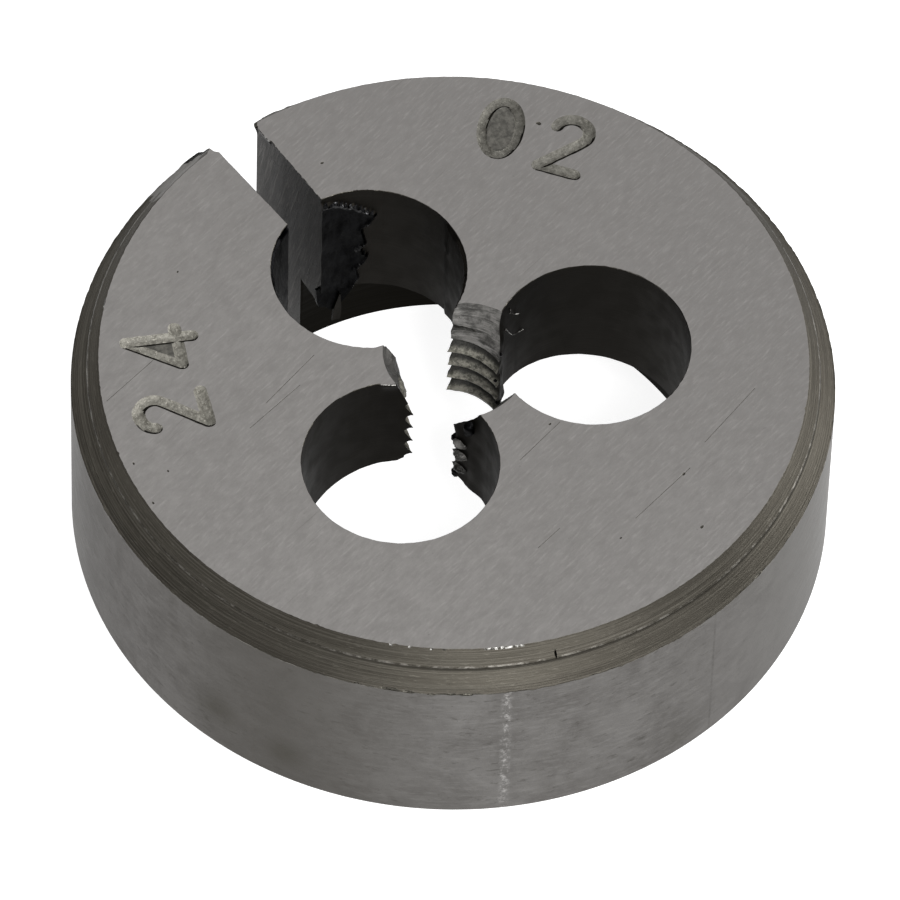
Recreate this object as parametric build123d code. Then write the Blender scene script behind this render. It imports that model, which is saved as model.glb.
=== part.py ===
from build123d import *
import os
from math import acos, ceil, cos, degrees, radians, sin, tan

# Split round threading die for M4 x 0.7, in millimetres and degrees.
# The origin is the centre of the underside, +Z is the thread's axis and the slot opens toward +Y.

# Blank, turned from bar and ground
outside_diameter = 25.0
thickness = 9.0

# Stepped chamfer round the top face, turned in two passes, with a ridge and a step where they meet
chamfer_width = 0.9
chamfer_drop = 1.27
ridge_inset = 0.53
ridge_drop = 0.52
step_height = 0.17
step_width = 0.02

# Plain chamfer round the underside
base_chamfer_width = 0.85
base_chamfer_drop = 1.2

# Thread, cut on the lands that the chip holes leave, with a cone where the rod enters
thread_diameter = 4.0
thread_pitch = 0.7
lead_in_margin = 0.37
lead_in_half_angle = 25.0
exit_margin = 0.05
exit_half_angle = 45.0

# Chip holes, drilled through round the thread so that they break into it
chip_hole_count = 3
chip_hole_diameter = 6.44
chip_hole_bite = 0.66

# Recess turned into the underside, clear of the chip holes, with a floor that rises toward the thread
recess_margin = 1.07
recess_wall_height = 3.65
recess_floor_slope = 8.7
recess_mouth_break = 0.15

# Slot from one chip hole to the outside, off centre, a little wider outward and with a V at its mouth.
# Its width is the one at the chip hole's edge.
slot_direction = 90.0
slot_width = 1.5
slot_offset = 0.285
slot_flare = 2.7
slot_mouth_depth = 1.95
slot_mouth_angle = 90.0

# Seats for the die stock's two closing screws, on either side of the slot
screw_seat_spread = 90.0
screw_seat_diameter = 2.4
screw_seat_angle = 90.0

# Sizes worked out from those above
outside_radius = outside_diameter / 2
fundamental_height = thread_pitch * cos(radians(30))
thread_depth = fundamental_height * 5 / 8
thread_radius = thread_diameter / 2
bore_radius = thread_radius - thread_depth
chip_hole_radius = chip_hole_diameter / 2
chip_hole_circle_radius = thread_radius - chip_hole_bite + chip_hole_radius
chip_hole_spacing = 360 / chip_hole_count
chip_hole_reach = chip_hole_circle_radius + chip_hole_radius
recess_radius = chip_hole_reach + recess_margin
recess_floor_rise = tan(radians(recess_floor_slope))
past = 1.0


def polar(radius, angle, height=0.0):
    """A point at a radius and an angle from +X, at a height."""
    return (radius * cos(radians(angle)), radius * sin(radians(angle)), height)


def turned(*points):
    """A solid turned about the thread's axis from (radius, height) points."""
    outline = make_face(Polyline(*[(radius, 0, height) for radius, height in points], close=True))
    return revolve(outline, Axis.Z, 360)


def recess_floor_height(radius):
    """Height of the recess floor at a radius."""
    return recess_wall_height + (recess_radius - radius) * recess_floor_rise


def blank():
    """The turned disc with its stepped chamfer and its plain one."""
    ridge_radius = outside_radius - ridge_inset
    ridge_height = thickness - ridge_drop
    return turned(
        (0, 0),
        (outside_radius - base_chamfer_width, 0),
        (outside_radius, base_chamfer_drop),
        (outside_radius, thickness - chamfer_drop),
        (ridge_radius + step_width, ridge_height - step_height),
        (ridge_radius, ridge_height),
        (outside_radius - chamfer_width, thickness),
        (0, thickness),
    )


def recess():
    """What the underside's recess takes away."""
    return turned(
        (0, -past),
        (recess_radius + recess_mouth_break, -past),
        (recess_radius + recess_mouth_break, 0),
        (recess_radius, recess_mouth_break),
        (recess_radius, recess_wall_height),
        (0, recess_floor_height(0)),
    )


def bore():
    """The hole down the axis, with the cone that a workpiece enters and a small one where it leaves."""
    mouth_radius = thread_radius + lead_in_margin
    lead_in_drop = (mouth_radius - bore_radius) / tan(radians(lead_in_half_angle))
    exit_radius = thread_radius + exit_margin
    exit_height = recess_floor_height(exit_radius)
    exit_rise = (exit_radius - bore_radius) / tan(radians(exit_half_angle))
    return turned(
        (0, 0),
        (exit_radius, 0),
        (exit_radius, exit_height),
        (bore_radius, exit_height + exit_rise),
        (bore_radius, thickness - lead_in_drop),
        (mouth_radius, thickness),
        (mouth_radius, thickness + past),
        (0, thickness + past),
    )


def chip_hole_half_angle(radius):
    """Half of the angle that a chip hole takes of a circle round the axis, at a radius."""
    squares = radius**2 + chip_hole_circle_radius**2 - chip_hole_radius**2
    return degrees(acos(squares / (2 * radius * chip_hole_circle_radius)))


def thread_grooves():
    """The thread's groove, as one stretch of helix for each land and turn.

    A stretch ends inside the chip holes, halfway from the land's edge to the hole's middle.
    """
    overlap = thread_pitch / 16
    mouth = thread_pitch * 3 / 4 + 2 * overlap * tan(radians(30))
    root = thread_pitch / 8
    corners = [
        (-overlap, -mouth / 2),
        (thread_depth, -root / 2),
        (thread_depth, root / 2),
        (-overlap, mouth / 2),
    ]
    lowest = recess_floor_height(bore_radius) - thread_pitch
    turns = ceil((thickness - lowest) / thread_pitch)
    stretch = chip_hole_spacing - chip_hole_half_angle(bore_radius)
    path = Helix(thread_pitch, thread_pitch * stretch / 360, bore_radius)
    plane = Plane(origin=path @ 0, x_dir=(1, 0, 0), z_dir=path % 0)
    groove = sweep(plane * make_face(Polyline(*corners, close=True)), path=path, is_frenet=True)
    grooves = []
    for land in range(chip_hole_count):
        start = slot_direction + chip_hole_spacing * (land + 0.5) - stretch / 2
        rise_to_start = thread_pitch * land / chip_hole_count
        for turn in range(turns):
            height = lowest + rise_to_start + thread_pitch * turn
            grooves.append(Pos(0, 0, height) * Rot(0, 0, start) * groove)
    return grooves


def chip_holes():
    """The three holes that clear chips and leave the thread on three lands."""
    holes = []
    for index in range(chip_hole_count):
        angle = slot_direction + chip_hole_spacing * index
        centre = polar(chip_hole_circle_radius, angle, thickness / 2)
        holes.append(Pos(*centre) * Cylinder(chip_hole_radius, thickness + 2 * past))
    return holes


def slot():
    """The cut that lets the die be closed a little, from the first chip hole to the outside."""
    inner = chip_hole_circle_radius
    outer = outside_radius + past
    straight_side = slot_offset + slot_width / 2
    flared_side = slot_offset - slot_width / 2
    flare = tan(radians(slot_flare))
    gap = Polyline(
        (inner, straight_side),
        (inner, flared_side + (chip_hole_reach - inner) * flare),
        (outer, flared_side - (outer - chip_hole_reach) * flare),
        (outer, straight_side),
        close=True,
    )
    corner = outside_radius - slot_mouth_depth
    spread = (outer - corner) * tan(radians(slot_mouth_angle / 2))
    mouth = Polyline(
        (corner, slot_offset),
        (outer, slot_offset - spread),
        (outer, slot_offset + spread),
        close=True,
    )
    cuts = []
    for outline in (gap, mouth):
        cut = extrude(make_face(outline), thickness + 2 * past)
        cuts.append(Pos(0, 0, -past) * Rot(0, 0, slot_direction) * cut)
    return cuts


def screw_seats():
    """The conical seats in the outside for the stock's closing screws."""
    depth = screw_seat_diameter / 2 / tan(radians(screw_seat_angle / 2))
    seat_height = (thickness - chamfer_drop + base_chamfer_drop) / 2
    seats = []
    for side in (-1, 1):
        direction = Vector(*polar(1, slot_direction + side * screw_seat_spread / 2))
        tip = direction * (outside_radius - depth) + Vector(0, 0, seat_height)
        length = depth + past
        wide = length * tan(radians(screw_seat_angle / 2))
        cone = Cone(0, wide, length, align=(Align.CENTER, Align.CENTER, Align.MIN))
        seats.append(Plane(origin=tip, z_dir=direction) * cone)
    return seats


def round_die():
    """The whole die, one solid."""
    body = blank() - recess() - bore()
    body = body - chip_holes()
    body = body - slot()
    body = body - screw_seats()
    return body - thread_grooves()


def main():
    os.makedirs("parts", exist_ok=True)
    die = round_die()
    export_step(die, "parts/round_die.step")
    print("solids", len(die.solids()), "volume", round(die.volume, 3), "valid", die.is_valid)


main()
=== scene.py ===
import bpy
import bmesh
from math import atan2, cos, degrees, pi, radians, sin, tan
from mathutils import Matrix, Vector, noise


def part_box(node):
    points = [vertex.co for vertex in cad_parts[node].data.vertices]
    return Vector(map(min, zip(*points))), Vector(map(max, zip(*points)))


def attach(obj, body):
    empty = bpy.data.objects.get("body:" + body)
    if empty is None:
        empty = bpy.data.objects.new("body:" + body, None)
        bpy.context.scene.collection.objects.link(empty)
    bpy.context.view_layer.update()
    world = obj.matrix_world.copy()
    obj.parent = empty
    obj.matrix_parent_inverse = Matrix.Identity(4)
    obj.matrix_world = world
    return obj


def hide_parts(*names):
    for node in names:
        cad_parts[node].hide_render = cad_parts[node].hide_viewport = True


# A round split threading die for M4 x 0.7, dressed over its solid model.
# Shapes are worked out in millimetres in the part's own frame and scaled to metres at the end.
# Angles in named values are in degrees round the axis from +X, and heights are from the underside.

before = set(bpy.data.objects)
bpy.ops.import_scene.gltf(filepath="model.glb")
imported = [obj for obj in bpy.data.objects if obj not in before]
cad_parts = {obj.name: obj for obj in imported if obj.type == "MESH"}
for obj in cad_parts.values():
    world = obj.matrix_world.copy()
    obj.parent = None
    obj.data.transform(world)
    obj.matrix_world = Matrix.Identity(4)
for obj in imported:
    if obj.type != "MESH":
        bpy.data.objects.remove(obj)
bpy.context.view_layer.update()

MM = 0.001

# Sizes taken from the solid model
high_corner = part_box("round_die")[1]
OUTSIDE = high_corner.x / MM
TOP = high_corner.z / MM

# Sizes of the stepped chamfer round the top and of the plain one round the underside
CHAMFER_WIDTH = 0.9
CHAMFER_DROP = 1.27
RIDGE_INSET = 0.53
RIDGE_DROP = 0.52
STEP_HEIGHT = 0.17
STEP_WIDTH = 0.02
BASE_CHAMFER_WIDTH = 0.85
BASE_CHAMFER_DROP = 1.2
CHAMFER_FOOT = TOP - CHAMFER_DROP

# Sizes of the thread, the chip holes and the recess
THREAD_RADIUS = 2.0
PITCH = 0.7
THREAD_DEPTH = PITCH * cos(radians(30)) * 5 / 8
BORE = THREAD_RADIUS - THREAD_DEPTH
LEAD_IN_MARGIN = 0.37
LEAD_IN_ANGLE = 25.0
EXIT_MARGIN = 0.05
HOLE_COUNT = 3
HOLE = 3.22
HOLE_BITE = 0.66
HOLE_CIRCLE = THREAD_RADIUS - HOLE_BITE + HOLE
HOLE_REACH = HOLE_CIRCLE + HOLE
RECESS_MARGIN = 1.07
RECESS = HOLE_REACH + RECESS_MARGIN
RECESS_WALL = 3.65
RECESS_SLOPE = 8.7
RECESS_RISE = tan(radians(RECESS_SLOPE))
RECESS_BREAK = 0.04

# Sizes of the slot and of the seats beside it
SLOT_ANGLE = 90.0
SLOT_HALF = 0.75
SLOT_OFFSET = 0.285
FLARE_ANGLE = 2.7
SLOT_FLARE = tan(radians(FLARE_ANGLE))
MOUTH_DEPTH = 1.95
MOUTH_CORNER = OUTSIDE - MOUTH_DEPTH
SEAT_SPREAD = 90.0
SEAT_RADIUS = 1.2

# How far a cutting shape runs past the metal
PAST = 1.0

UP = Vector((0, 0, 1))


def polar(radius, angle, height=0.0):
    """A point at a radius and an angle in degrees from +X, at a height."""
    return Vector((radius * cos(radians(angle)), radius * sin(radians(angle)), height))


def wobble(seed, *place):
    """Smooth noise from -1 to 1 at a place, different for each seed."""
    x, y, z = (list(place) + [0.0, 0.0])[:3]
    return noise.noise(Vector((x + seed * 17.31, y - seed * 9.73, z + seed * 5.17)))


def spikes(seed, floor, *place):
    """How far the noise at a place stands above a floor, for marks with gaps between them."""
    return max(0.0, wobble(seed, *place) - floor)


def ramp(value, start, end):
    """A smooth rise from 0 at start to 1 at end, where end may be the lower one."""
    share = min(1.0, max(0.0, (value - start) / (end - start)))
    return share * share * (3 - 2 * share)


def edit(mesh, change):
    """Opens a mesh, lets a function change it and writes it back."""
    work = bmesh.new()
    work.from_mesh(mesh)
    change(work)
    work.to_mesh(mesh)
    work.free()


def in_scene(name, data):
    """A new object in the scene that holds the data."""
    item = bpy.data.objects.new(name, data)
    bpy.context.scene.collection.objects.link(item)
    return item


def mesh_object(name, vertices, faces, surfaces):
    """A new object from its points, its faces and the surface kind of each face."""
    mesh = bpy.data.meshes.new(name)
    mesh.from_pydata([tuple(v) for v in vertices], [], faces)
    mesh.polygons.foreach_set("material_index", [SLOT_OF[s] for s in surfaces])
    edit(mesh, lambda work: bmesh.ops.recalc_face_normals(work, faces=work.faces))
    for material in materials.values():
        mesh.materials.append(material)
    return in_scene(name, mesh)


def loft(name, loops, surfaces, kind_of=None, closed=False):
    """A closed solid through loops of points with equal counts. surfaces is one kind for all, or it names
    each band's kind, then the first cap's and the last cap's. kind_of(middle, kind) may give a face in a
    band another kind. closed joins the last loop to the first, without caps."""
    count = len(loops[0])
    bands = len(loops) if closed else len(loops) - 1
    if isinstance(surfaces, str):
        surfaces = [surfaces] * (bands + 2)
    vertices = [point for loop in loops for point in loop]
    faces = []
    kinds = []
    for band in range(bands):
        first = band * count
        second = (band + 1) % len(loops) * count
        for i in range(count):
            j = (i + 1) % count
            faces.append((first + i, first + j, second + j, second + i))
            kind = surfaces[band]
            if kind_of:
                kind = kind_of((vertices[first + i] + vertices[second + j]) / 2, kind)
            kinds.append(kind)
    if not closed:
        faces.append(tuple(reversed(range(count))))
        faces.append(tuple(range(len(vertices) - count, len(vertices))))
        kinds += surfaces[-2:]
    return mesh_object(name, vertices, faces, kinds)


def combine(body, tool, operation):
    """Takes the tool's shape away from the body or joins it on, and deletes the tool."""
    step = body.modifiers.new("step", "BOOLEAN")
    step.operation = operation
    step.solver = "MANIFOLD"
    step.material_mode = "INDEX"
    step.object = tool
    bpy.context.view_layer.update()
    result = bpy.data.meshes.new_from_object(body.evaluated_get(bpy.context.evaluated_depsgraph_get()))
    body.modifiers.clear()
    old = body.data
    body.data = result
    bpy.data.meshes.remove(old)
    tool_mesh = tool.data
    bpy.data.objects.remove(tool)
    bpy.data.meshes.remove(tool_mesh)


def cut(body, tool):
    """Takes the tool's shape away from the body."""
    combine(body, tool, "DIFFERENCE")


def join(body, tool):
    """Joins the tool's shape onto the body."""
    combine(body, tool, "UNION")


def turned(name, profile, segments, surfaces, worn, kind_of=None):
    """A solid turned about the axis from (radius, height) points. worn(index, angle) gives a small
    change of radius and of height."""
    loops = []
    for index, (radius, height) in enumerate(profile):
        loop = []
        for step in range(segments):
            angle = 360 * step / segments
            wider, higher = worn(index, angle)
            loop.append(polar(radius + wider, angle, height + higher))
        loops.append(loop)
    return loft(name, loops, surfaces, kind_of)


def joined(*parts):
    """One profile from (points, surface) parts, and the surface that starts at each of its points."""
    points = [point for some, surface in parts for point in some]
    surfaces = [surface for some, surface in parts for point in some]
    return points, surfaces


# Materials


def rgba(colour):
    """A colour with its fourth number, or a node's output as it is."""
    return colour if isinstance(colour, bpy.types.NodeSocket) else (*colour, 1.0)


class Shader:
    """A short way to write a material's nodes. Colours are laid over self.colour and bumps over
    self.normal, one by one."""

    def __init__(self, name):
        self.material = bpy.data.materials.new(name)
        self.material.use_nodes = True
        self.tree = self.material.node_tree
        self.tree.nodes.clear()
        self.place = self.add("ShaderNodeTexCoord").outputs["Object"]
        self.colour = None
        self.normal = None

    def add(self, kind, inputs=None, **settings):
        """A node with its settings and inputs. An input is a value or another node's output."""
        item = self.tree.nodes.new(kind)
        for key, value in settings.items():
            setattr(item, key, value)
        for key, value in (inputs or {}).items():
            socket = item.inputs[key]
            if isinstance(value, bpy.types.NodeSocket):
                self.tree.links.new(value, socket)
            else:
                socket.default_value = value
        return item

    def math(self, operation, *values):
        """The result of a math node."""
        return self.add("ShaderNodeMath", dict(enumerate(values)), operation=operation).outputs[0]

    def times(self, first, second):
        """The product of two numbers."""
        return self.math("MULTIPLY", first, second)

    def remap(self, value, low, high, new_low=0.0, new_high=1.0):
        """value moved smoothly from one range to another, held at the ends."""
        inputs = {"Value": value, "From Min": low, "From Max": high, "To Min": new_low, "To Max": new_high}
        return self.add("ShaderNodeMapRange", inputs, interpolation_type="SMOOTHSTEP").outputs["Result"]

    def gloss(self, value, low, high):
        """A roughness that goes from low to high over the middle of a noise value."""
        return self.remap(value, 0.3, 0.7, low, high)

    def axes(self):
        """The place's three coordinates."""
        return self.add("ShaderNodeSeparateXYZ", {0: self.place}).outputs

    def radius(self):
        """How far the place is from the axis."""
        x, y = self.axes()[:2]
        return self.math("SQRT", self.math("ADD", self.times(x, x), self.times(y, y)))

    def angle(self):
        """The place's angle round the axis in radians, from -pi to pi."""
        x, y = self.axes()[:2]
        return self.math("ARCTAN2", y, x)

    def sector(self, middle, half):
        """1 at an angle in degrees, falling smoothly to 0 at half away from it."""
        turn = radians((middle + 180) % 360 - 180)
        away = self.math("ABSOLUTE", self.math("SUBTRACT", self.angle(), turn))
        return self.remap(away, radians(half), 0.0)

    def measure(self, operation, point):
        """A number worked out from the place and a point."""
        inputs = {0: self.place, 1: point}
        return self.add("ShaderNodeVectorMath", inputs, operation=operation).outputs["Value"]

    def noise(self, place, detail, rough, distort):
        """A noise value from 0 to 1."""
        inputs = {"Vector": place, "Scale": 1.0, "Detail": detail, "Roughness": rough, "Distortion": distort}
        return self.add("ShaderNodeTexNoise", inputs).outputs["Fac"]

    def spun(self, place, angle, axis):
        """A place turned about an axis by degrees."""
        inputs = {"Vector": place, "Angle": radians(angle)}
        return self.add("ShaderNodeVectorRotate", inputs, rotation_type=axis).outputs[0]

    def grain(self, scale, detail=3, rough=0.5, distort=0.0, turn=0.0, tilt=0.0):
        """Noise over the place in millimetres, turned about Z and X by degrees and scaled along each axis."""
        spun = self.spun(self.place, turn, "Z_AXIS")
        if tilt:
            spun = self.spun(spun, tilt, "X_AXIS")
        factors = tuple(s / MM for s in scale)
        place = self.add("ShaderNodeVectorMath", {0: spun, 1: factors}, operation="MULTIPLY").outputs[0]
        return self.noise(place, detail, rough, distort)

    def rings(self, scale, detail=3, rough=0.5, distort=0.0):
        """Noise over the place's angle, radius and height, for marks that run round the axis."""
        around, outward, up = scale
        inputs = {0: self.times(self.angle(), around), 1: self.times(self.radius(), outward / MM),
                  2: self.times(self.axes()[2], up / MM)}
        place = self.add("ShaderNodeCombineXYZ", inputs).outputs[0]
        return self.noise(place, detail, rough, distort)

    def mix(self, factor, first, second):
        """A mix of two colours."""
        inputs = {"Factor": factor, 6: rgba(first), 7: rgba(second)}
        return self.add("ShaderNodeMix", inputs, data_type="RGBA").outputs[2]

    def cover(self, share, colour):
        """Lays a colour over those so far."""
        self.colour = self.mix(share, self.colour, colour)

    def tint(self, value, low, high, share, colour):
        """Lays a share of a colour over those so far, the more the nearer a value is to high."""
        self.cover(self.remap(value, low, high, 0.0, share), colour)

    def bump(self, height, distance, strength):
        """Lays a bump over those so far. distance is in millimetres."""
        inputs = {"Height": height, "Distance": distance * MM, "Strength": strength}
        if self.normal:
            inputs["Normal"] = self.normal
        self.normal = self.add("ShaderNodeBump", inputs).outputs[0]

    def finish(self, roughness, metallic=1.0, dim=None, **more):
        """Joins up the surface. dim weakens what it reflects at a shallow angle."""
        inputs = {"Metallic": metallic, "Roughness": roughness, "Base Color": rgba(self.colour), **more}
        if self.normal:
            inputs["Normal"] = self.normal
        if dim:
            inputs["Specular Tint"] = (dim, dim, dim, 1.0)
        surface = self.add("ShaderNodeBsdfPrincipled", inputs).outputs[0]
        self.add("ShaderNodeOutputMaterial", {"Surface": surface})


# The top's grinding lines run this far round from +X, and the slot's lean this far from upright
GRIND_TURN = 11.0
SLOT_LINE_TILT = -14.0

# The side of the top face that is left lit; painted shade darkens the top towards the opposite side
TOP_LIT_SIDE = 195.0


def ground_top(s):
    """The surface-ground top: fine scratches that all run one way, over soft mottling and a few specks, with
    painted shade that darkens it towards one side.
    """
    clouds = s.grain((0.16, 0.30, 0.3), 5, 0.6, 0.4, -GRIND_TURN)
    mottle = s.grain((1.1, 2.0, 2.0), 6, 0.8, turn=-GRIND_TURN)
    grain = s.grain((1.8, 12, 12), 5, 0.75, turn=-GRIND_TURN)
    lines = s.grain((0.30, 13, 13), 2, turn=-GRIND_TURN)
    speck = s.grain((4.0, 5, 5), 4, 0.75, turn=-GRIND_TURN)
    # Painted shade: the top face is painted darker the further it lies from its lit side.
    across = s.measure("DOT_PRODUCT", polar(1, TOP_LIT_SIDE))
    s.colour = s.mix(clouds, (0.330, 0.317, 0.306), (0.415, 0.399, 0.385))
    s.tint(across, 8 * MM, -10 * MM, 0.9, (0.325, 0.312, 0.302))
    s.tint(mottle, 0.36, 0.66, 0.55, (0.290, 0.277, 0.266))
    s.tint(grain, 0.50, 0.72, 0.34, (0.52, 0.50, 0.485))
    s.tint(lines, 0.68, 0.78, 0.35, (0.54, 0.525, 0.51))
    s.tint(lines, 0.32, 0.23, 0.35, (0.20, 0.19, 0.18))
    s.tint(speck, 0.66, 0.76, 0.6, (0.14, 0.132, 0.122))
    s.bump(grain, 0.007, 0.7)
    s.bump(mottle, 0.010, 0.6)
    s.finish(s.gloss(grain, 0.38, 0.50))


def turned_chamfer(s):
    """The dark turned chamfer: fine rings left by the tool in a heat-tinted skin."""
    rings = s.rings((1.1, 22, 22), 4, 0.65)
    dashes = s.rings((34, 18, 18), 4, 0.7)
    s.colour = s.mix(s.rings((3.0, 0.9, 0.9), 4, 0.6), (0.030, 0.0270, 0.0220), (0.066, 0.0610, 0.0510))
    s.tint(rings, 0.48, 0.72, 0.75, (0.105, 0.098, 0.083))
    s.tint(dashes, 0.54, 0.74, 0.45, (0.135, 0.127, 0.108))
    s.tint(rings, 0.42, 0.30, 0.6, (0.016, 0.0145, 0.012))
    s.bump(rings, 0.013, 0.9)
    s.bump(dashes, 0.004, 0.5)
    s.finish(s.gloss(rings, 0.42, 0.56), dim=0.55)


# Oily stains on the outside: angle, height and size
STAINS = (
    (194.6, 3.2, 1.3), (269.2, 2.1, 1.0), (207.0, 2.6, 1.1), (330, 4.2, 1.2), (62, 3.7, 1.3), (140, 2.8, 1.0),
)

# A painted highlight streak and a dark line up the outside: angle and half width
PAINTED_HIGHLIGHT_STREAK = (240.3, 1.1)
LINE = (275.0, 0.35)

# Broad changes of tone round the outside, by angle, half width and colour: painted shade over the front-left
# stretch, painted light over the right-hand one, and a lighter stretch on the rolled metal by the slot
SIDE_PAINTED_SHADING = ((206, 30, (0.066, 0.062, 0.056)), (305, 45, (0.170, 0.165, 0.158)), (101, 12, (0.20, 0.194, 0.184)))


def ground_side(s):
    """The ground outside: fine short marks round it, small pits, a painted highlight streak up it and a few
    oily stains, under broad stretches of painted light and shade.
    """
    marks = s.rings((22, 1, 9), 6, 0.75)
    dashes = s.rings((26, 1, 6), 4, 0.65, 0.4)
    clouds = s.rings((7, 0.3, 0.5), 6, 0.7, 0.6)
    pits = s.grain((5, 5, 5), 5, 0.8)
    s.colour = s.mix(s.remap(clouds, 0.30, 0.70), (0.094, 0.0895, 0.085), (0.132, 0.127, 0.122))
    s.tint(marks, 0.42, 0.72, 0.5, (0.19, 0.184, 0.177))
    s.tint(dashes, 0.58, 0.72, 0.55, (0.055, 0.052, 0.047))
    s.tint(pits, 0.60, 0.76, 0.6, (0.040, 0.037, 0.032))
    # Painted light and shade: broad stretches round the outside are painted lighter or darker.
    for middle, half, shade in SIDE_PAINTED_SHADING:
        s.cover(s.times(s.sector(middle, half), 0.7), shade)
    # Painted highlight: a bright speckled streak up the outside.
    rub = s.times(s.sector(*PAINTED_HIGHLIGHT_STREAK), s.remap(s.rings((90, 1, 7), 5, 0.8), 0.45, 0.66))
    s.cover(s.times(rub, 0.75), (0.38, 0.37, 0.36))
    line = s.times(s.sector(*LINE), s.remap(marks, 0.38, 0.62))
    s.cover(s.times(line, 0.40), (0.045, 0.042, 0.038))
    spots = [s.remap(s.measure("DISTANCE", polar(OUTSIDE, angle, height) * MM), size * MM, 0.0)
             for angle, height, size in STAINS]
    stain = spots[0]
    for spot in spots[1:]:
        stain = s.math("MAXIMUM", stain, spot)
    stain = s.times(stain, s.remap(clouds, 0.30, 0.60))
    s.cover(s.times(stain, 0.55), (0.042, 0.039, 0.030))
    s.bump(marks, 0.004, 0.6)
    s.bump(pits, 0.008, 0.5)
    s.finish(s.gloss(marks, 0.36, 0.50), dim=0.5)


def drilled_wall(s):
    """The near-black walls of the chip holes, partly dark heat-treated skin and partly painted shade."""
    rings = s.grain((0.5, 0.5, 16), 4, 0.6)
    blotches = s.grain((1.4, 1.4, 1.4), 4)
    # Painted shade: the walls are painted near black.
    s.colour = s.mix(blotches, (0.0110, 0.0098, 0.0082), (0.0175, 0.0160, 0.0135))
    s.tint(rings, 0.55, 0.8, 0.5, (0.026, 0.0240, 0.0205))
    s.bump(rings, 0.006, 0.5)
    s.finish(s.gloss(blotches, 0.48, 0.60), dim=0.72)


def slot_face(s):
    """The slot's faces: steep grinding lines on bare steel."""
    lines = s.grain((1, 7, 0.45), 6, 0.8, tilt=SLOT_LINE_TILT)
    s.colour = s.mix(s.grain((0.8, 0.8, 0.8)), (0.019, 0.0178, 0.0164), (0.029, 0.0274, 0.0256))
    s.tint(lines, 0.50, 0.62, 0.9, (0.125, 0.120, 0.115))
    s.tint(lines, 0.46, 0.36, 0.7, (0.008, 0.0074, 0.0068))
    s.tint(s.grain((9, 9, 9), 3, 0.7), 0.58, 0.74, 0.4, (0.010, 0.0092, 0.0084))
    s.bump(lines, 0.016, 0.8)
    s.finish(s.gloss(lines, 0.36, 0.5), dim=0.8)


def thread(s):
    """The cut lands: olive-grey torn flanks, with painted shade that darkens the roots."""
    skin = s.grain((5, 5, 8), 5, 0.7)
    grains = s.grain((13, 13, 20), 3, 0.6)
    depth = s.remap(s.radius(), (BORE + 0.06) * MM, (THREAD_RADIUS - 0.14) * MM)
    s.colour = s.mix(s.remap(skin, 0.35, 0.65), (0.042, 0.040, 0.031), (0.215, 0.206, 0.172))
    s.tint(grains, 0.58, 0.72, 0.8, (0.30, 0.29, 0.25))
    # Painted shade: the deeper a place lies in the groove, the darker it is painted.
    s.cover(s.times(depth, 0.95), (0.006, 0.0055, 0.0040))
    s.bump(skin, 0.05, 0.9)
    s.bump(grains, 0.014, 0.6)
    s.finish(s.gloss(skin, 0.34, 0.55), metallic=0.45)


# The middle and half width of the stretch where the lead-in's cone is dull, on the second land
DULL_CONE = (150, 50)


def lead_in(s):
    """The lead-in's cone: grey torn metal with rings round it."""
    rings = s.rings((2.0, 3.5, 12), 6, 0.75, 0.6)
    clouds = s.grain((1.5, 1.5, 2.2), 5, 0.65)
    s.colour = s.mix(s.remap(clouds, 0.38, 0.64), (0.040, 0.0385, 0.035), (0.165, 0.159, 0.150))
    s.tint(rings, 0.54, 0.68, 0.8, (0.27, 0.262, 0.25))
    s.tint(rings, 0.46, 0.34, 0.8, (0.014, 0.013, 0.011))
    s.cover(s.times(s.sector(*DULL_CONE), 0.9), (0.024, 0.0228, 0.020))
    s.bump(rings, 0.045, 0.9)
    s.finish(s.gloss(clouds, 0.38, 0.55), metallic=0.4)


# The middle and half width of the stretch where the punched number is darker
DARK_NUMBER = (38, 30)


def stamp(s):
    """The lit walls of the punched numbers: rough cream-grey metal."""
    skin = s.grain((5, 5, 5), 5, 0.8)
    grains = s.grain((11, 11, 11), 3, 0.7)
    s.colour = s.mix(s.remap(skin, 0.36, 0.64), (0.120, 0.114, 0.095), (0.260, 0.250, 0.218))
    s.tint(grains, 0.56, 0.70, 0.7, (0.50, 0.48, 0.42))
    s.tint(grains, 0.42, 0.32, 0.5, (0.070, 0.065, 0.052))
    s.cover(s.times(s.sector(*DARK_NUMBER), 0.55), (0.024, 0.0225, 0.019))
    s.bump(skin, 0.05, 0.9)
    s.finish(s.gloss(skin, 0.46, 0.64), metallic=0.3)


def stamp_floor(s):
    """The flat middles that the punch pushed down."""
    skin = s.grain((5, 5, 5), 5, 0.75)
    s.colour = s.mix(s.remap(skin, 0.35, 0.68), (0.043, 0.041, 0.035), (0.105, 0.100, 0.087))
    s.bump(skin, 0.03, 0.8)
    s.finish(s.gloss(skin, 0.46, 0.62), metallic=0.3)


def stamp_side(s):
    """The sides of the punched strokes that face one way, painted dark as shade."""
    skin = s.grain((5, 5, 5), 4, 0.7)
    s.colour = s.mix(s.remap(skin, 0.35, 0.68), (0.012, 0.0113, 0.0092), (0.040, 0.038, 0.032))
    s.bump(skin, 0.03, 0.8)
    s.finish(0.6, dim=0.5)


def recess(s):
    """The turned recess in the underside: near black, partly the dark heat-treated skin and partly painted
    shade. The screw seats and the chamfer's black end by the slot use it too.
    """
    rings = s.rings((1.0, 9, 9))
    # Painted shade: far darker than the heat-treated skin alone.
    s.colour = s.mix(rings, (0.0042, 0.0037, 0.0027), (0.0080, 0.0072, 0.0056))
    s.bump(rings, 0.006, 0.6)
    s.finish(s.gloss(rings, 0.45, 0.6), dim=0.55)


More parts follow.
